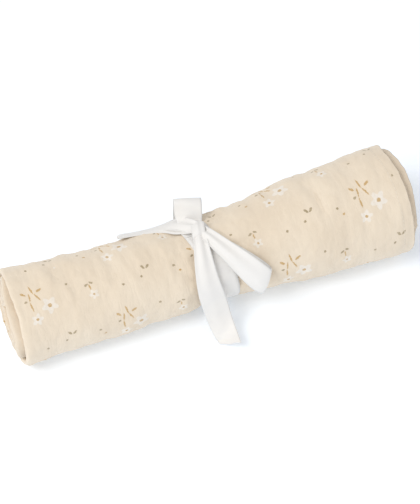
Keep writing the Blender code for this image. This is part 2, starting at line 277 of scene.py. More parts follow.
KNOT_X = -6.8 * MM
KNOT_ANGLE = math.radians(92)
KNOT_HEIGHT = 4.4 * MM  # of its middle over the roll
KNOT_WIDTH = 9.6 * MM
KNOT_REACH = 5.2 * MM  # from its middle to its front and back
KNOT_THICKNESS = 4.0 * MM  # from its middle outwards
KNOT_ROUNDING = 0.45  # how much thinner it is at its sides
KNOT_TAPER = 0.12  # how much of that rounding its front and back take
KNOT_LEAN = 1.4 * MM
KNOT_FOLD = 0.35 * MM
KNOT_FOLD_COUNT = 2.2
KNOT_FOLD_PHASE = 0.8
WAIST_RADIUS = 30 * MM

# The loops, step by step: a place on the roll, a height over it, a share of the ribbon's width,
# which way its width lies there, in degrees from the roll's length towards the way round, and how
# much lower its front edge lies than its back edge.
Hold = namedtuple("Hold", "step x angle height width turn tilt")
RIGHT_LOOP = (
    Hold(0, -6.8, 92, 3.2, 0.40, 30, 0.0),
    Hold(1, -2.6, 81, 3.0, 0.47, 31, 0.0),
    Hold(2, 3.4, 65, 2.8, 0.57, 33, 0.0),
    Hold(3, 11.0, 47, 2.6, 0.71, 36, 0.0),
    Hold(4, 19.0, 29, 2.6, 0.87, 42, 0.0),
    Hold(5, 25.6, 14.5, 2.9, 0.97, 52, 0.0),
    Hold(6, 29.4, 7.0, 4.0, 0.98, 62, 0.3),
    Hold(7, 30.6, 5.0, 6.4, 0.98, 70, 0.8),
    Hold(8, 28.8, 7.6, 8.6, 0.98, 68, 1.2),
    Hold(9, 24.6, 14.8, 9.2, 0.93, 56, 1.6),
    Hold(10, 18.0, 28, 8.2, 0.82, 43, 1.6),
    Hold(11, 10.0, 46, 7.0, 0.67, 36, 1.0),
    Hold(12, 2.4, 65, 6.2, 0.54, 33, 0.4),
    Hold(13, -3.2, 81.5, 5.6, 0.46, 31, 0.0),
    Hold(14, -6.8, 92, 5.2, 0.40, 30, 0.0),
)
LEFT_LOOP = (
    Hold(0, -6.8, 94, 3.2, 0.42, 40, 0.0),
    Hold(1, -11.5, 106, 3.0, 0.54, 46, 0.2),
    Hold(2, -18.0, 122, 2.4, 0.74, 56, 0.4),
    Hold(3, -26.0, 138, 1.8, 0.88, 68, 0.5),
    Hold(4, -36.0, 146, 1.6, 0.93, 77, 0.5),
    Hold(5, -46.0, 147, 1.7, 0.95, 80, 0.5),
    Hold(6, -54.0, 143, 2.2, 1.00, 80, 0.7),
    Hold(7, -57.6, 142, 3.2, 1.00, 80, 1.4),
    Hold(8, -54.6, 142, 4.1, 1.00, 80, 2.4),
    Hold(9, -46.0, 144, 3.9, 1.00, 80, 3.0),
    Hold(10, -35.0, 142, 3.7, 1.00, 77, 3.2),
    Hold(11, -25.0, 133, 4.2, 0.96, 68, 3.8),
    Hold(12, -17.0, 117, 5.0, 0.80, 56, 4.6),
    Hold(13, -11.0, 103, 5.6, 0.58, 46, 2.8),
    Hold(14, -6.8, 94, 5.4, 0.42, 40, 0.0),
)

# The free ends, step by step: a place, a share of the ribbon's width, which way its width lies
# there, in degrees from the roll's length towards the back, and how much higher its right edge lies.
Stop = namedtuple("Stop", "step x y z width turn rise")
FRONT_TAIL = (
    Stop(0, -7.0, 0.0, 67.0, 0.44, 0, 0.0),
    Stop(1, -9.1, -10.0, 66.0, 0.52, 0, 0.0),
    Stop(2, -11.4, -21.0, 60.5, 0.66, 0, 0.0),
    Stop(3, -12.0, -29.5, 50.0, 0.81, 0, 0.0),
    Stop(4, -10.8, -35.0, 38.0, 0.93, 0, 0.0),
    Stop(5, -8.8, -37.2, 27.0, 0.94, 0, 0.5),
    Stop(6, -7.1, -40.7, 16.2, 0.88, -4, 3.5),
    Stop(7, -5.7, -46.6, 8.9, 0.78, -8, 7.5),
    Stop(8, -5.2, -54.2, 6.5, 0.67, -12, 11.0),
    Stop(9, -5.5, -62.4, 6.7, 0.58, -16, 12.6),
)
BACK_TAIL = (
    Stop(0, -6.8, 3.0, 63.4, 0.50, -6, 0.0),
    Stop(1, -7.8, 9.5, 62.2, 0.75, -16, 0.0),
    Stop(2, -8.0, 15.5, 61.0, 0.92, -24, 0.0),
    Stop(3, -7.2, 19.5, 65.0, 1.00, -26, 0.0),
    Stop(4, -5.9, 23.6, 69.8, 1.00, -22, -1.5),
    Stop(5, -4.6, 28.2, 69.6, 1.00, -18, -1.0),
    Stop(6, -3.0, 33.6, 62.5, 0.98, -12, 0.0),
    Stop(7, -1.4, 38.4, 51.0, 0.98, -8, 0.0),
    Stop(8, 0.0, 42.6, 39.5, 1.00, -4, 0.0),
    Stop(9, 1.4, 46.6, 27.5, 1.00, 0, 0.0),
    Stop(10, 2.8, 50.6, 15.5, 1.00, 0, 0.0),
    Stop(11, 4.2, 55.0, 4.6, 1.00, 0, 0.0),
    Stop(12, 5.6, 60.0, 0.8, 1.00, 0, 0.0),
)

# -------------------------------- the print
# One repeat of the print, in millimetres from its corner. Every second column of repeats is set
# half a repeat lower. A blossom is a round of petals, a blot an oval of ink, and both are
# measured from their middle out.
REPEAT_WIDTH = 61.0
REPEAT_HEIGHT = 67.0
PETAL_MIDDLE = 0.78  # a blossom's outline lies around this share of its radius
PETAL_DEPTH = 0.2  # and swings this share to both sides
BLEED = 1.2  # how far the ink's edges stray, in millimetres
BLEED_SCALE = 900.0
PETAL_EDGE = (-0.5, 0.4)  # the ink fades between these distances from a blossom's outline
BLOT_EDGE = (0.75, 1.2)  # and between these shares of a blot's size
Blossom = namedtuple("Blossom", "x y radius petals turn")
BLOSSOMS = (
    Blossom(21.0, 24.0, 6.4, 5, 12),
    Blossom(32.0, 31.5, 4.6, 5, 40),
    Blossom(50.0, 58.5, 3.8, 5, 75),
)
Blot = namedtuple("Blot", "x y long wide turn ink")
BLOTS = (
    Blot(21.0, 24.0, 1.5, 1.4, 0, "ochre"),
    Blot(32.0, 31.5, 1.1, 1.0, 0, "ochre"),
    Blot(50.0, 58.5, 0.9, 0.9, 0, "ochre"),
    Blot(27.8, 16.0, 3.4, 0.62, 118, "ochre"),
    Blot(30.5, 9.6, 3.6, 0.62, 104, "ochre"),
    Blot(33.5, 22.0, 3.5, 0.60, 96, "ochre"),
    Blot(33.2, 15.0, 3.3, 0.58, 84, "ochre"),
    Blot(25.2, 11.2, 2.3, 0.95, 28, "ochre"),
    Blot(36.8, 11.8, 2.1, 0.90, 142, "ochre"),
    Blot(36.6, 17.8, 1.2, 0.9, 20, "olive"),
    Blot(51.5, 52.6, 2.2, 0.5, 98, "ochre"),
    Blot(53.6, 50.6, 1.5, 0.75, 35, "olive"),
    Blot(50.0, 49.6, 1.5, 0.75, 150, "olive"),
    Blot(8.4, 49.2, 1.9, 0.85, 48, "olive"),
    Blot(11.8, 49.0, 1.9, 0.85, 128, "olive"),
    Blot(14.6, 55.4, 0.95, 0.9, 0, "olive"),
    Blot(5.6, 12.2, 0.95, 0.9, 0, "olive"),
    Blot(51.0, 20.6, 1.0, 0.9, 0, "olive"),
    Blot(47.4, 25.4, 1.0, 0.9, 0, "ochre"),
    Blot(28.6, 57.6, 1.0, 0.9, 0, "olive"),
)

# -------------------------------- the finishes
# How fine each pattern is on the flat cloth. A wave repeats every 0.31 m divided by its scale.
DRIFT_SCALE = 22.0  # the slow drift of colour
WORN_SCALE = 700.0
CRINKLE_SCALE = 300.0
PUCKER_SCALE = 105.0
WARP_SCALE = 400.0
WEFT_SCALE = 370.0
RIB_SCALE = 330.0
CLOUD_SCALE = 60.0
INNER_SHADE_START = 0.19  # painted shade: the turns inside the roll are darkened, standing in for the shade inside it; the darkening starts here along the cloth from its loose edge and is full at the next share
INNER_SHADE_FULL = 0.24
THREAD_EDGE = (0.15 * MM, 0.45 * MM)  # from the middle of the hem's seam
# painted shade along the hem's seam fades between these distances from its middle
SEAM_EDGE = (0.3 * MM, 0.9 * MM)
STITCH_START = (0.2, 0.35)  # the gap between two stitches ends here, as a share of their step
SELVEDGE_EDGE = (8.6 * MM, 9.2 * MM)  # from the ribbon's middle

# -------------------------------- the studio
FLOOR_REACH = 4.0  # from its middle to its edges
FLOOR_COLOUR = (0.905, 0.94, 0.985)
GLOW_COLOUR = (0.785, 0.878, 0.99)
KEY_PLACE = (-1.1, -0.45, 1.6)
KEY_SIZE = 0.8
KEY_AIM = (0, 0, 0.03)

# The camera looks down from the left, as the photograph does.
CAMERA_AZIMUTH = math.radians(-21.5)
CAMERA_ELEVATION = math.radians(50)
CAMERA_DISTANCE = 1.5
CAMERA_TARGET = (0, 0, 0.033)
FOCAL_LENGTH = 2105.25  # in pixels of the photograph's frame
FRAME_WIDTH = 420
FRAME_HEIGHT = 504
TARGET_PIXEL_X = 207.8  # where the target shows in that frame
TARGET_PIXEL_Y = 259.0
SENSOR = 36  # in millimetres


# ================================ curves
def smooth_table(rows, where):
    """The columns after the first, at each place in `where`, on smooth curves through the rows."""
    table = np.array(rows, float)
    keys, values = table[:, 0], table[:, 1:]
    where = np.clip(where, keys[0], keys[-1])
    high = np.clip(np.searchsorted(keys, where), 1, len(keys) - 1)
    low = high - 1
    before, after = np.maximum(low - 1, 0), np.minimum(high + 1, len(keys) - 1)
    span = keys[high] - keys[low]
    t = ((where - keys[low]) / span)[:, None]
    start, end = values[low], values[high]
    slope_in = (span / (keys[high] - keys[before]))[:, None] * (end - values[before])
    slope_out = (span / (keys[after] - keys[low]))[:, None] * (values[after] - start)
    curve = start * (1 + 2 * t) * (1 - t) ** 2 + slope_in * t * (1 - t) ** 2
    curve += end * t**2 * (3 - 2 * t) + slope_out * t**2 * (t - 1)
    return curve.T


def smooth_step(value):
    value = np.clip(value, 0.0, 1.0)
    return value * value * (3 - 2 * value)


def angle_apart(one, other):
    """The turn from the other angle to the one, between half a turn back and half a turn on."""
    return (one - other + math.pi) % math.tau - math.pi


def rough(points, seed, octaves):
    """Soft noise, about -0.5 to 0.5, at each point of an array."""
    offset = Vector((seed * 17.3, seed * 5.1, seed * 9.7))
    return np.array(
        [
            noise.fractal(Vector(point) + offset, 1.0, 2.0, octaves, noise_basis="PERLIN_ORIGINAL")
            for point in points
        ]
    )


def uneven(kind, points):
    """Soft noise of one kind at each point of an array."""
    return kind.height * rough(points * np.array(kind.fineness), kind.seed, kind.octaves)


# ================================ the roll's surface
def section_at(x):
    """Radius and lift off the floor of the plain roll at x."""
    radius, lift = smooth_table(ROLL_SECTIONS, x / MM)
    return radius * MM, lift * MM


def band_x(angle):
    """The middle of the tied band at an angle round the roll."""
    return BAND_MIDDLE + BAND_SLANT * np.cos(angle - BAND_SLANT_ANGLE)


def crease_depth(crease, x, angle, radius):
    """How deep a crease is at a place: full along its line, fading beside and past it."""
    x0, x1 = crease.x0 * MM, crease.x1 * MM
    y0, y1 = math.radians(crease.angle0) * radius, math.radians(crease.angle1) * radius
    middle = (y0 + y1) / 2
    y = middle + angle_apart(angle, middle / radius) * radius
    along_x, along_y = x1 - x0, y1 - y0
    share = ((x - x0) * along_x + (y - y0) * along_y) / (along_x**2 + along_y**2)
    share = np.clip(share, 0.0, 1.0)
    away = np.hypot(x - x0 - along_x * share, y - y0 - along_y * share) / (crease.width * MM)
    return crease.depth * MM * np.exp(-away * away)


def gather_depth(gather, x, angle):
    """How deep a gather is at a place: deepest at the tie, wider and shallower away from it."""
    from_tie = x - band_x(angle)
    reach = np.where(from_tie > 0, gather.right, gather.left) * MM
    fade = np.exp(-((from_tie / reach) ** 2))
    width = math.radians(gather.width) * (GATHER_SPREAD - (GATHER_SPREAD - 1) * fade)
    off = angle_apart(angle, math.radians(gather.angle)) / width
    return GATHER_SHARPNESS * gather.depth * MM * fade * np.exp(-off * off * GATHER_SHARPNESS**2)


def fold_depth(x, angle):
    """How far the roll's surface with its folds lies inside the plain roll."""
    radius = section_at(x)[0]
    depth = sum(gather_depth(gather, x, angle) for gather in GATHERS)
    return depth + sum(crease_depth(crease, x, angle, radius) for crease in CREASES)


def round_the_roll(x, angle, reach):
    """Points at a distance from the roll's own middle line."""
    radius, lift = section_at(x)
    middle = lift + radius - FLAT_SINK
    return np.stack([x, -reach * np.cos(angle), middle + reach * np.sin(angle)], axis=-1)


# ================================ the cloth
def wound_share(wound):
    """The share of the roll's radius that the cloth lies at, by how far it has wound inwards.

    The outermost turn keeps its radius until it comes to pass under its own loose edge.
    """
    turn = np.floor(wound / math.tau)
    part = wound - turn * math.tau
    late = smooth_step((part - (math.tau - LOOSE_EDGE_SPREAD)) / LOOSE_EDGE_SPREAD)
    settled = np.clip(turn / SETTLED_TURN, 0.0, 1.0)
    return 1 - TURN_SHARE * (turn + late * (1 - settled) + part / math.tau * settled)


def wound_lengths():
    """Turns and the lengths of cloth that they take, measured inwards from the loose edge."""
    wound = np.linspace(0, TURN_COUNT * math.tau, 4000)
    steps = np.diff(wound) * MEAN_RADIUS * wound_share((wound[1:] + wound[:-1]) / 2)
    return wound, np.concatenate([[0.0], np.cumsum(steps)])


def stretch_starts():
    """Where each stretch starts across the flat cloth, and where the last one ends."""
    lengths = [stretch.length * MM for stretch in STRETCHES]
    return np.concatenate([[0.0], np.cumsum(lengths)])


def folded_place(across):
    """For places across the flat cloth: layer, place along the roll, bulge and shortness."""
    starts = stretch_starts()
    across = np.clip(across, 0, starts[-1])
    index = np.clip(np.searchsorted(starts, across, side="right") - 1, 0, len(STRETCHES) - 1)
    stretch = Stretch(*np.array(STRETCHES, float)[index].T)
    t = (across - starts[index]) / (stretch.length * MM)
    bend = stretch.bulge > 0
    eased = np.where(bend, (1 - np.cos(t * math.pi)) / 2, t)
    layer = stretch.layer0 + (stretch.layer1 - stretch.layer0) * eased
    place = stretch.place0 + (stretch.place1 - stretch.place0) * t
    bulge = np.where(bend, stretch.bulge * MM * np.sin(t * math.pi), 0.0)
    bulge = np.where(place > 0.5, -bulge, bulge)
    return layer, place, bulge, stretch.short * MM


def drawn_out(x, wound, around, short):
    """x of each place once the ends of its turn stand out past the rims, and of its left end."""
    ripple = uneven(EDGE_RIPPLE, around) * MM
    left = smooth_table(LEFT_TIPS, np.degrees(wound))[0] * MM
    left += uneven(LEFT_WAVER, around) * MM + ripple - FOLD_BULGE * MM
    right = smooth_table(RIGHT_TIPS, np.degrees(wound))[0] * MM
    right += uneven(RIGHT_WAVER, around) * MM + ripple - short
    near_left = smooth_step(1 - (x - ROLL_LEFT) / TIP_REACH)
    near_right = smooth_step(1 - (ROLL_RIGHT - x) / TIP_REACH)
    return x - left * near_left + right * near_right, ROLL_LEFT - left


def wind(across, along):
    """Where each place of the flat cloth lies on the roll.

    `across` runs from the right-hand hem, `along` inwards from the loose edge. Past its edges the
    cloth is turned under as a hem.
    """
    width = stretch_starts()[-1]
    wound_table, length_table = wound_lengths()
    wound = np.interp(np.abs(along), length_table, wound_table)
    angle = LOOSE_EDGE_ANGLE - wound
    past_edge = np.maximum(-along, np.maximum(-across, across - width))
    hem = smooth_step(past_edge / HEM_OPENING)
    across = np.where(across < 0, -across, np.where(across > width, 2 * width - across, across))

    layer, place, bulge, short = folded_place(across)
    around = np.stack([np.cos(angle), np.sin(angle), wound * NOISE_PITCH], axis=-1)
    x = ROLL_RIGHT + (ROLL_LEFT - ROLL_RIGHT) * place
    x, left_end = drawn_out(x, wound, around, short)
    x = x + bulge

    inner = smooth_step((wound - INNER_FROM) / INNER_SPREAD)
    share = wound_share(wound)
    follow = np.clip(share - STILL_SHARE, 0.0, None) / (1 - STILL_SHARE)
    tighter = LEFT_TIGHTER * smooth_step(1 - (x - ROLL_LEFT) / TIGHTER_REACH)
    tighter += RIGHT_TIGHTER * smooth_step(1 - (ROLL_RIGHT - x) / TIGHTER_REACH)
    share = share * (1 - tighter * inner)
    inwards = share * DRIFT_INWARDS + x * DRIFT_ALONG
    drift = np.stack([np.cos(angle), np.sin(angle), inwards], axis=-1)
    share += share * (1 - share) * uneven(TURN_DRIFT, drift)

    radius = section_at(x)[0]
    loose = 1 + uneven(LOOSENESS, around)
    depth = layer * loose * LAYER_SHARE * TURN_SHARE * radius + hem * HEM_GAP
    puff = smooth_step(1 - (x - left_end) / PUFF_REACH)
    depth += (layer - MIDDLE_LAYER * inner) * PUFF * loose * puff
    depth += fold_depth(x, angle) * follow + np.where(layer > 0.5, LAYER_CLEARANCE, 0.0)

    surface = [x / MM, np.cos(angle) * NOISE_RADIUS, np.sin(angle) * NOISE_RADIUS]
    surface = np.stack(surface, axis=-1)
    depth += uneven(SWELL, surface) * MM * follow
    outer = np.flatnonzero((wound < OUTSIDE) & (layer < 0.5))
    depth[outer] += uneven(BROAD_RUMPLE, surface[outer]) * MM
    depth[outer] += uneven(FINE_RUMPLE, surface[outer]) * MM

    points = round_the_roll(x, angle, radius * share - depth)
    off_floor = np.maximum(radius * (1 - share) + depth, 0) * UNDERNEATH
    points[:, 2] = np.maximum(points[:, 2], off_floor)
    return points


def lay_columns():
    """Places along the cloth for the rows of faces, closer together where the cloth shows."""
    wound_table, length_table = wound_lengths()
    wound = np.arange(0, FINE_TURNS * 360 + 2 * FINE_STEP, FINE_STEP)
    fine = np.interp(np.radians(wound), wound_table, length_table)
    step = np.minimum(COARSE_STEP, COARSE_TURN * MEAN_RADIUS * wound_share(wound_table))
    counted = np.cumsum(np.gradient(length_table) / step)
    first = float(np.interp(fine[-1], length_table, counted))
    inner = np.interp(np.arange(first + 1, counted[-1]), counted, length_table)
    return np.concatenate([[-HEM, -HEM / 2, -EDGE_STEP], fine[:1], [EDGE_STEP], fine[1:], inner])


def lay_stations():
    """Places across the cloth, from the right-hand hem, for the columns of faces."""
    starts = stretch_starts()
    places = [-HEM, -HEM / 2, *SIDE_STEPS, *(starts[-1] + SIDE_STEPS), starts[-1] + HEM]
    for start, stretch in zip(starts, STRETCHES):
        places += list(start + np.arange(stretch.cells) / stretch.cells * stretch.length * MM)
    return np.array(sorted(set(places)))


def make_flat_cloth(bm):
    """The flat cloth as a grid, finer where it will be the outside of the roll."""
    stations, columns = lay_stations(), lay_columns()
    bmesh.ops.create_grid(bm, x_segments=len(stations) - 1, y_segments=len(columns) - 1, size=0.5)
    for vertex in bm.verts:
        i = round((vertex.co.x + 0.5) * (len(stations) - 1))
        j = round((vertex.co.y + 0.5) * (len(columns) - 1))
        vertex.co = (stations[i], columns[j], 0)
    wound_table, length_table = wound_lengths()
    outside = float(np.interp(OUTSIDE, wound_table, length_table))
    first_layer = STRETCHES[0].length * MM
    folded_edge = first_layer + STRETCHES[1].length * MM

    def edges(reach, lengthwise, shortest):
        """The longer edges of the outside, in one direction, up to a place across the cloth."""
        found = []
        for edge in bm.edges:
            one, other = edge.verts[0].co, edge.verts[1].co
            runs_along = abs(one.y - other.y) > abs(one.x - other.x)
            inside = max(one.y, other.y) < outside and edge.calc_length() > shortest
            if inside and max(one.x, other.x) < reach + ROUNDING and runs_along == lengthwise:
                found.append(edge)
        return found

    lengthwise = edges(folded_edge, True, 0)
    bmesh.ops.subdivide_edges(bm, edges=lengthwise, cuts=1, use_grid_fill=True)
    crosswise = edges(first_layer, False, LONG_CELL)
    bmesh.ops.subdivide_edges(bm, edges=crosswise, cuts=LONG_CELL_CUTS, use_grid_fill=True)


# ================================ shader helpers
class Shader:
    """Adds nodes to a material and joins them up."""

    def __init__(self, name):
        self.material = bpy.data.materials.new(name)
        self.material.use_nodes = True
        self.tree = self.material.node_tree
        self.surface = self.tree.nodes["Principled BSDF"]

    def node(self, kind, **inputs):
        node = self.tree.nodes.new("ShaderNode" + kind)
        for name, value in inputs.items():
            self.plug(node.inputs[name.replace("_", " ")], value)
        return node

    def plug(self, socket, value):
        if isinstance(value, bpy.types.NodeSocket):
            self.tree.links.new(value, socket)
        else:
            socket.default_value = value

    def coat(self, **inputs):
        """Sets or joins up inputs of the surface itself."""
        for name, value in inputs.items():
            self.plug(self.surface.inputs[name.replace("_", " ")], value)

    def math(self, operation, *values):
        node = self.tree.nodes.new("ShaderNodeMath")
        node.operation = operation
        for socket, value in zip(node.inputs, values):
            self.plug(socket, value)
        return node.outputs[0]

    def vector(self, operation, *values):
        node = self.tree.nodes.new("ShaderNodeVectorMath")
        node.operation = operation
        for socket, value in zip(node.inputs, values):
            self.plug(socket, value)
        return node.outputs["Value"] if operation == "LENGTH" else node.outputs[0]

    def mix(self, factor, one, other, blend="MIX"):
        node = self.tree.nodes.new("ShaderNodeMix")
        node.data_type = "RGBA"
        node.blend_type = blend
        for index, value in ((0, factor), (6, one), (7, other)):
            self.plug(node.inputs[index], value)
        return node.outputs[2]

    def ramp(self, value, low, high, to_low=0.0, to_high=1.0):
        node = self.tree.nodes.new("ShaderNodeMapRange")
        node.interpolation_type = "SMOOTHSTEP"
        for socket, number in zip(node.inputs, (value, low, high, to_low, to_high)):
            self.plug(socket, number)
        return node.outputs[0]

    def mapping(self, vector, place=(0, 0, 0), turn=0.0, scale=(1, 1, 1)):
        node = self.node("Mapping", Vector=vector, Location=place, Rotation=(0, 0, turn), Scale=scale)
        node.vector_type = "TEXTURE"
        return node.outputs[0]

    def noise(self, vector, scale, detail, roughness=0.5, distortion=0.0):
        node = self.node("TexNoise", Vector=vector, Scale=scale, Detail=detail)
        self.plug(node.inputs["Roughness"], roughness)
        self.plug(node.inputs["Distortion"], distortion)
        return node.outputs["Fac"]

    def uv(self, name):
        node = self.tree.nodes.new("ShaderNodeUVMap")
        node.uv_map = name
        return node.outputs[0]


def colour(rgb):
    return (*rgb, 1.0)


def print_masks(shader, flat):
    """How much of each ink lies at a place of the flat cloth."""
    cells = shader.vector("DIVIDE", flat, (REPEAT_WIDTH * MM, REPEAT_HEIGHT * MM, 1.0))
    split = shader.node("SeparateXYZ", Vector=cells)
    column = shader.math("FLOOR", split.outputs[0])
    odd = shader.math("MODULO", shader.math("ABSOLUTE", column), 2.0)
    lowered = shader.math("ADD", split.outputs[1], shader.math("MULTIPLY", odd, 0.5))
    x = shader.math("MULTIPLY", shader.math("FRACT", split.outputs[0]), REPEAT_WIDTH)
    y = shader.math("MULTIPLY", shader.math("FRACT", lowered), REPEAT_HEIGHT)
    place = shader.node("CombineXYZ", X=x, Y=y, Z=0.0).outputs[0]
    bleed = shader.node("TexNoise", Vector=flat, Scale=BLEED_SCALE, Detail=1.0).outputs["Color"]
    bleed = shader.vector("SUBTRACT", bleed, (0.5, 0.5, 0.5))
    place = shader.vector("ADD", place, shader.vector("MULTIPLY", bleed, (BLEED, BLEED, 0)))
    masks = {}

    def join(ink, mask):
        masks[ink] = shader.math("MAXIMUM", masks[ink], mask) if ink in masks else mask

    for blossom in BLOSSOMS:
        centre = (blossom.x, blossom.y, 0)
        local = shader.mapping(place, centre, math.radians(blossom.turn))
        parts = shader.node("SeparateXYZ", Vector=local)
        angle = shader.math("ARCTAN2", parts.outputs[1], parts.outputs[0])
        petals = shader.math("COSINE", shader.math("MULTIPLY", angle, float(blossom.petals)))
        swing, middle = PETAL_DEPTH * blossom.radius, PETAL_MIDDLE * blossom.radius
        reach = shader.math("MULTIPLY_ADD", petals, swing, middle)
        past = shader.math("SUBTRACT", shader.vector("LENGTH", local), reach)
        join("white", shader.ramp(past, *PETAL_EDGE, 1.0, 0.0))
    for blot in BLOTS:
        centre, size = (blot.x, blot.y, 0), (blot.long, blot.wide, 1)
        local = shader.mapping(place, centre, math.radians(blot.turn), size)
        join(blot.ink, shader.ramp(shader.vector("LENGTH", local), *BLOT_EDGE, 1.0, 0.0))
    return masks


def print_inks(shader, flat, base, look):
    """The cloth's colour with the three inks on it, each at its strength and a little worn."""
    masks = print_masks(shader, flat)
    worn = shader.ramp(shader.noise(flat, WORN_SCALE, 2.0), 0.3, 0.7, 0.75, 1.0)
    inks = {
        "white": (look.white_ink, 0.55),
        "ochre": (look.ochre_ink, 0.9),
        "olive": (look.olive_ink, 0.9),
    }
    for ink, (shade, strength) in inks.items():
        inked = shader.math("MULTIPLY", shader.math("MULTIPLY", masks[ink], worn), strength)
        base = shader.mix(inked, base, colour(shade))
    return base


def double_gauze(shader, flat):
    """Heights of the crinkle, the pucker and the weave."""
    crinkle = shader.mapping(flat, scale=(1, 2.4, 1))
    crinkle = shader.noise(crinkle, CRINKLE_SCALE, 3.0, 0.6, 0.4)
    pucker = shader.mapping(flat, scale=(1, 3.2, 1))
    pucker = shader.noise(pucker, PUCKER_SCALE, 2.0, 0.5, 0.6)
    threads = []
    for direction, scale in (("X", WARP_SCALE), ("Y", WEFT_SCALE)):
        wave = shader.node("TexWave", Vector=flat, Scale=scale, Distortion=2.0, Detail=2.0)
        wave.bands_direction = direction
        threads.append(wave.outputs["Fac"])
    return crinkle, pucker, shader.math("MULTIPLY", *threads)


def hem_seam(shader, split):
    """How far each place is from the middle of the hem's seam, and where the stitches are."""
    sides = [shader.math("ABSOLUTE", split.outputs[axis]) for axis in (0, 1)]
    from_hem = shader.math("MINIMUM", *sides)
    seam = shader.math("ABSOLUTE", shader.math("SUBTRACT", from_hem, HEM * SEAM_SHARE))
    along_hem = shader.math("ADD", split.outputs[0], split.outputs[1])
    along_hem = shader.math("FRACT", shader.math("MULTIPLY", along_hem, 1 / STITCH))
    thread = shader.ramp(seam, *THREAD_EDGE, 1.0, 0.0)
    return seam, shader.math("MULTIPLY", thread, shader.ramp(along_hem, *STITCH_START))


def make_muslin(look):
    """Crinkled double gauze with its print."""
    shader = Shader("muslin_cloth")
    flat = shader.uv("flat")
    split = shader.node("SeparateXYZ", Vector=flat)
    drift = shader.ramp(shader.noise(flat, DRIFT_SCALE, 3.0), 0.35, 0.65)
    base = shader.mix(drift, colour(look.muslin), colour(look.muslin_shade))
    # painted shade: the cloth inside the outermost turn is darkened, standing in for the shade inside
    # the roll
    inner_shade = shader.ramp(split.outputs[1], INNER_SHADE_START, INNER_SHADE_FULL)
    base = shader.mix(inner_shade, base, colour(look.muslin_inner_shade), "MULTIPLY")
    base = print_inks(shader, flat, base, look)

    crinkle, pucker, weave = double_gauze(shader, flat)
    seam, stitch = hem_seam(shader, split)
    # painted shade: darker in the hollows of the crinkle and the pucker, between the threads and
    # along the hem's seam
    painted_hollow_shade = shader.ramp(pucker, 0.3, 0.62, 0.10, 0.0)
    painted_hollow_shade = shader.math("ADD", painted_hollow_shade, shader.ramp(crinkle, 0.3, 0.6, 0.08, 0.0))
    painted_hollow_shade = shader.math("ADD", painted_hollow_shade, shader.ramp(weave, 0.0, 0.6, 0.10, 0.0))
    painted_hollow_shade = shader.math("ADD", painted_hollow_shade, shader.ramp(seam, *SEAM_EDGE, 0.12, 0.0))
    base = shader.mix(painted_hollow_shade, base, colour(look.muslin_hollow_shade))
    base = shader.mix(shader.math("MULTIPLY", stitch, 0.5), base, colour(look.thread))
    relief = shader.math("MULTIPLY_ADD", stitch, -0.25, crinkle)
    relief = shader.math("MULTIPLY_ADD", pucker, 1.8, relief)
    creased = shader.node("Bump", Strength=0.55, Distance=0.8 * MM, Height=relief)
    woven = shader.node("Bump", Strength=0.35, Distance=0.2 * MM, Height=weave)
    shader.plug(woven.inputs["Normal"], creased.outputs[0])
    shader.coat(
        Base_Color=base,
        Normal=woven.outputs[0],
        Roughness=0.92,
        Specular_IOR_Level=0.2,
        Sheen_Weight=0.25,
        Sheen_Roughness=0.6,
    )
    shader.material.diffuse_color = colour(look.muslin)
    return shader.material


def make_ribbon_cloth(look):
    """Plain white woven ribbon with a selvedge along each edge."""
    shader = Shader("ribbon_cloth")
    flat = shader.uv("flat")
    split = shader.node("SeparateXYZ", Vector=flat)
    edge = shader.math("ABSOLUTE", split.outputs[0])
    ribs = shader.node("TexWave", Vector=flat, Scale=RIB_SCALE, Distortion=0.6, Detail=1.0)
    ribs.bands_direction = "Y"
    selvedge = shader.ramp(edge, *SELVEDGE_EDGE)
    cloudy = shader.ramp(shader.noise(flat, CLOUD_SCALE, 2.0), 0.3, 0.7)
    base = shader.mix(cloudy, colour(look.ribbon), colour(look.ribbon_shade))
    base = shader.mix(shader.math("MULTIPLY", selvedge, 0.35), base, colour(look.selvedge))
    height = shader.math("ADD", shader.math("MULTIPLY", ribs.outputs["Fac"], 0.4), selvedge)
    bump = shader.node("Bump", Strength=0.3, Distance=0.2 * MM, Height=height)
    shader.coat(
        Base_Color=base,
        Normal=bump.outputs[0],
        Roughness=0.55,
        Specular_IOR_Level=0.35,
        Sheen_Weight=0.15,
        Sheen_Roughness=0.4,
    )
    shader.material.diffuse_color = colour(look.ribbon)
    return shader.material


# ================================ pieces
def add_object(name, data):
    """A new object in the scene, in place of an older one of that name."""
    old = bpy.data.objects.get(name)
    if old:
        bpy.data.objects.remove(old, do_unlink=True)
    thing = bpy.data.objects.new(name, data)
    bpy.context.scene.collection.objects.link(thing)
    return thing


def mesh_from(bm, name):
    mesh = bpy.data.meshes.new(name)
    bm.to_mesh(mesh)
    bm.free()
    return mesh


def lay_out(bm, name, material, place):
    """An object whose flat shape, kept as its UV map, is moved to its place in one go."""
    mesh = mesh_from(bm, name)
    flat = np.empty(len(mesh.vertices) * 3)
    mesh.vertices.foreach_get("co", flat)
    flat = flat.reshape(-1, 3)
    corners = np.empty(len(mesh.loops), int)
    mesh.loops.foreach_get("vertex_index", corners)
    uv_map = mesh.uv_layers.new(name="flat")
    uv_map.uv.foreach_set("vector", flat[corners, :2].ravel())
    mesh.vertices.foreach_set("co", place(flat).ravel())
    mesh.update()
    mesh.shade_smooth()
    mesh.materials.append(material)
    return add_object(name, mesh)


def make_strip(bm, strip, number):
    """One more flat strip of ribbon in the bmesh; its Z is its number."""
    made = bmesh.ops.create_grid(bm, x_segments=strip.columns, y_segments=strip.rows, size=0.5)
    bmesh.ops.scale(bm, vec=(RIBBON_WIDTH, strip.length, 1), verts=made["verts"])
    bmesh.ops.translate(bm, vec=(0, 0, number), verts=made["verts"])


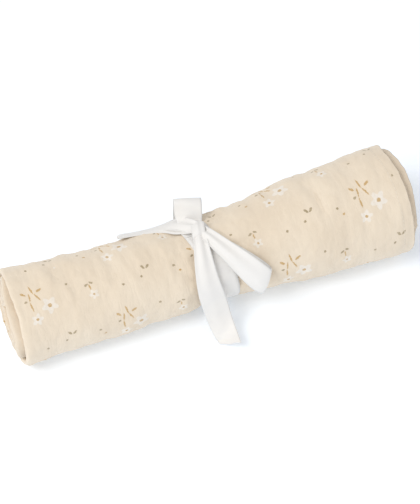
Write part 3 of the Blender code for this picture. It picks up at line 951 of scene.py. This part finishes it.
def pleat(across, width):
    """How high the ribbon's pleats stand where it is drawn together to a share of its width."""
    return (1 - width) * PLEAT * np.cos(across * math.tau * PLEAT_COUNT + PLEAT_PHASE)


def curl(across, width):
    """How high the ribbon's middle bulges over its edges."""
    return RIBBON_CURL * (1 - 4 * across * across) * width


def loop_place(route, along, across):
    """A loop of the bow that lies on the roll and comes back over itself."""
    x, angle, height, width, turn, tilt = smooth_table(route, along * (len(route) - 1))
    turn, angle = np.radians(turn), np.radians(angle)
    off = across * RIBBON_WIDTH * width
    x = x * MM + off * np.cos(turn)
    angle = angle + off * np.sin(turn) / section_at(x)[0]
    height = height * MM - tilt * MM * (0.5 - across) + pleat(across, width)
    height += curl(across, width)
    return round_the_roll(x, angle, section_at(x)[0] + height)


def tail_place(route, slant, along, across):
    """A free end of the ribbon, cut at a slant, which stays clear of the roll and the floor."""
    x, y, z, width, turn, rise = smooth_table(route, along * (len(route) - 1))
    turn = np.radians(turn)
    off = across * RIBBON_WIDTH * width
    cut = slant * (0.5 - across) * smooth_step((along - CUT_FROM) / (1 - CUT_FROM))
    x = x * MM + off * np.cos(turn)
    y = y * MM + off * np.sin(turn) - np.copysign(cut, y)
    radius, lift = section_at(x)
    middle = lift + radius - FLAT_SINK
    z = (z + rise * across) * MM - middle
    reach = np.hypot(y, z)
    over = np.maximum((radius + OVER_BAND) / reach, 1.0)
    spread = np.hypot(width, rise * MM / RIBBON_WIDTH)
    over += (pleat(across, spread) + curl(across, width)) / reach
    return np.stack([x, y * over, np.maximum(middle + z * over, ABOVE_FLOOR)], axis=-1)


def band_place(along, across):
    """The band round the waist, which starts and ends under the knot."""
    angle = KNOT_ANGLE + along * math.tau
    x = band_x(angle) + across * RIBBON_WIDTH
    rumple = uneven(BAND_RUMPLE, np.stack([x, np.cos(angle), np.sin(angle)], axis=-1)) * MM
    return round_the_roll(x, angle, section_at(x)[0] + BAND_HEIGHT + rumple)


def knot_place(along, across):
    """The turn of ribbon round the middle of the bow, folded to half its width."""
    turn = along * math.tau
    plump = 1 - KNOT_ROUNDING * (2 * across) ** 2
    folds = KNOT_FOLD * np.cos(across * math.tau * KNOT_FOLD_COUNT + KNOT_FOLD_PHASE)
    off_round = KNOT_REACH * np.cos(turn) * (1 - KNOT_TAPER * (1 - plump))
    off_out = KNOT_THICKNESS * np.sin(turn) * plump + folds * np.sin(turn)
    angle = KNOT_ANGLE + off_round / WAIST_RADIUS
    x = KNOT_X + across * KNOT_WIDTH + KNOT_LEAN * np.cos(turn)
    return round_the_roll(x, angle, section_at(x)[0] + KNOT_HEIGHT + off_out)


# The strips of the bow: rows and columns of faces, length and where each place of it lies.
Strip = namedtuple("Strip", "rows columns length place")
STRIPS = (
    Strip(210, 8, 0.235, band_place),
    Strip(110, 12, 0.118, partial(loop_place, RIGHT_LOOP)),
    Strip(110, 12, 0.128, partial(loop_place, LEFT_LOOP)),
    Strip(90, 12, 0.115, partial(tail_place, FRONT_TAIL, FRONT_SLANT)),
    Strip(110, 12, 0.125, partial(tail_place, BACK_TAIL, BACK_SLANT)),
    Strip(48, 12, 0.03, knot_place),
)


def place_strips(flat):
    """Where each place of the flat strips lies in the bow."""
    points = np.empty_like(flat)
    for number, strip in enumerate(STRIPS):
        mine = np.round(flat[:, 2]) == number
        along = flat[mine, 1] / strip.length + 0.5
        points[mine] = strip.place(along, flat[mine, 0] / RIBBON_WIDTH)
    return points


# ================================ settings
def tint(label, description, default):
    return FloatVectorProperty(
        name=label, description=description, subtype="COLOR", size=3, min=0, max=1, default=default
    )


class SwaddleLook(bpy.types.PropertyGroup):
    """Colours of the blanket and the ribbon."""

    muslin: tint("Muslin", "Colour of the cloth", (0.867, 0.752, 0.603))
    muslin_shade: tint("Muslin shade", "Colour the cloth drifts to", (0.84, 0.72, 0.57))
    # painted shade: the tint that darkens the turns inside the roll, standing in for their shade
    muslin_inner_shade: tint("Inside turns", "What tints the turns inside the roll", (0.93, 0.92, 0.91))
    # painted shade for the hollows of the crinkle, between the threads and along the seam
    muslin_hollow_shade: tint("Muslin gap", "Colour between the threads", (0.62, 0.50, 0.36))
    thread: tint("Thread", "Colour of the hem's stitches", (0.90, 0.82, 0.70))
    white_ink: tint("White ink", "Colour of the blossoms", (0.95, 0.94, 0.92))
    ochre_ink: tint("Ochre ink", "Colour of the warm marks", (0.54, 0.315, 0.075))
    olive_ink: tint("Olive ink", "Colour of the dark marks", (0.31, 0.235, 0.115))
    ribbon: tint("Ribbon", "Colour of the ribbon", (0.88, 0.855, 0.82))
    ribbon_shade: tint("Ribbon shade", "Colour the ribbon drifts to", (0.845, 0.825, 0.80))
    selvedge: tint("Selvedge", "Colour of the ribbon's woven edge", (0.83, 0.83, 0.82))


class SwaddleSizes(bpy.types.PropertyGroup):
    """Sizes that don't change the roll's form."""

    ribbon_thickness: FloatProperty(
        name="Ribbon thickness",
        description="Thickness of the woven ribbon",
        unit="LENGTH",
        min=0.0002,
        max=0.001,
        default=0.00045,
    )


class SwaddleStudio(bpy.types.PropertyGroup):
    """Light of the studio."""

    key_power: FloatProperty(
        name="Key light", description="Power of the large soft light", unit="POWER", default=14.6
    )
    fill: FloatProperty(name="Fill", description="Strength of the light all round", default=0.71)
    table_glow: FloatProperty(
        name="Table glow", description="Strength of the light from the white table", default=0.22
    )


# ================================ operators
class SWADDLE_OT_blanket(bpy.types.Operator):
    """Make the folded and rolled muslin cloth"""

    bl_idname = "swaddle.blanket"
    bl_label = "Make Blanket"

    def execute(self, context):
        bm = bmesh.new()
        make_flat_cloth(bm)
        bmesh.ops.reverse_faces(bm, faces=bm.faces)
        muslin = make_muslin(context.scene.swaddle_look)
        cloth = lay_out(bm, "muslin_roll_cloth", muslin, lambda flat: wind(flat[:, 0], flat[:, 1]))
        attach(cloth, "root")
        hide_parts("muslin_roll")
        return {"FINISHED"}


class SWADDLE_OT_ribbon(bpy.types.Operator):
    """Make the ribbon that is tied round the roll in a bow"""

    bl_idname = "swaddle.ribbon"
    bl_label = "Make Ribbon"

    def execute(self, context):
        bm = bmesh.new()
        for number, strip in enumerate(STRIPS):
            make_strip(bm, strip, number)
        woven = make_ribbon_cloth(context.scene.swaddle_look)
        ribbon = lay_out(bm, "ribbon_bow_strips", woven, place_strips)
        wall = ribbon.modifiers.new("thickness", "SOLIDIFY")
        wall.thickness = context.scene.swaddle_sizes.ribbon_thickness
        wall.offset = 0.0
        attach(ribbon, "root")
        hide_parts("ribbon_bow")
        return {"FINISHED"}


class SWADDLE_OT_stage(bpy.types.Operator):
    """Make the pale floor, the soft light and the camera"""

    bl_idname = "swaddle.stage"
    bl_label = "Make Stage"

    def execute(self, context):
        studio = context.scene.swaddle_studio
        bm = bmesh.new()
        bmesh.ops.create_grid(bm, x_segments=2, y_segments=2, size=FLOOR_REACH)
        floor = add_object("floor", mesh_from(bm, "floor"))
        paper = Shader("floor_paper")
        paper.coat(
            Base_Color=colour(FLOOR_COLOUR),
            Roughness=0.9,
            Specular_IOR_Level=0.1,
            Emission_Color=colour(GLOW_COLOUR),
            Emission_Strength=studio.table_glow,
        )
        floor.data.materials.append(paper.material)

        world = bpy.data.worlds.new("studio")
        context.scene.world = world
        world.use_nodes = True
        background = world.node_tree.nodes["Background"]
        background.inputs["Color"].default_value = colour((1, 1, 1))
        background.inputs["Strength"].default_value = studio.fill
        self.add_key_light(studio.key_power)
        context.scene.view_settings.view_transform = "Standard"
        context.scene.camera = self.add_camera()
        return {"FINISHED"}

    def add_key_light(self, power):
        light = bpy.data.lights.new("key", "AREA")
        light.size = KEY_SIZE
        light.energy = power
        lamp = add_object("key", light)
        lamp.location = KEY_PLACE
        towards = Vector(KEY_AIM) - Vector(KEY_PLACE)
        lamp.rotation_euler = towards.to_track_quat("-Z", "Y").to_euler()

    def add_camera(self):
        """The camera, moved aside so that its target shows at its own pixel of the frame."""
        sideways, ahead = math.sin(CAMERA_AZIMUTH), math.cos(CAMERA_AZIMUTH)
        level = math.cos(CAMERA_ELEVATION)
        back = Vector((sideways * level, -ahead * level, math.sin(CAMERA_ELEVATION)))
        right = Vector((ahead, sideways, 0))
        up = back.cross(right)
        aside = (TARGET_PIXEL_X - FRAME_WIDTH / 2) / FOCAL_LENGTH * CAMERA_DISTANCE
        above = (FRAME_HEIGHT / 2 - TARGET_PIXEL_Y) / FOCAL_LENGTH * CAMERA_DISTANCE
        camera = add_object("camera", bpy.data.cameras.new("camera"))
        camera.location = Vector(CAMERA_TARGET) + back * CAMERA_DISTANCE - right * aside - up * above
        camera.rotation_euler = Matrix((right, up, back)).transposed().to_euler()
        camera.data.sensor_width = SENSOR
        camera.data.lens = FOCAL_LENGTH * SENSOR / FRAME_HEIGHT
        return camera


class SWADDLE_PT_tools(bpy.types.Panel):
    """Lists the makers of the blanket, the ribbon and the stage"""

    bl_idname = "SWADDLE_PT_tools"
    bl_label = "Swaddle Blanket"
    bl_space_type = "VIEW_3D"
    bl_region_type = "UI"
    bl_category = "Swaddle"

    def draw(self, context):
        for maker in MAKERS:
            self.layout.operator(maker.bl_idname)
        for setting, kind in SETTINGS.items():
            for name in kind.__annotations__:
                self.layout.prop(getattr(context.scene, setting), name)


SETTINGS = {
    "swaddle_look": SwaddleLook,
    "swaddle_sizes": SwaddleSizes,
    "swaddle_studio": SwaddleStudio,
}
MAKERS = (SWADDLE_OT_blanket, SWADDLE_OT_ribbon, SWADDLE_OT_stage)


def register():
    for kind in (*SETTINGS.values(), *MAKERS, SWADDLE_PT_tools):
        bpy.utils.register_class(kind)
    for name, group in SETTINGS.items():
        setattr(bpy.types.Scene, name, PointerProperty(type=group))


def unregister():
    for name in SETTINGS:
        delattr(bpy.types.Scene, name)
    for kind in (SWADDLE_PT_tools, *reversed(MAKERS), *reversed(SETTINGS.values())):
        bpy.utils.unregister_class(kind)


def main():
    register()
    bpy.ops.swaddle.stage()
    bpy.ops.swaddle.blanket()
    bpy.ops.swaddle.ribbon()


if __name__ == "__main__":
    main()
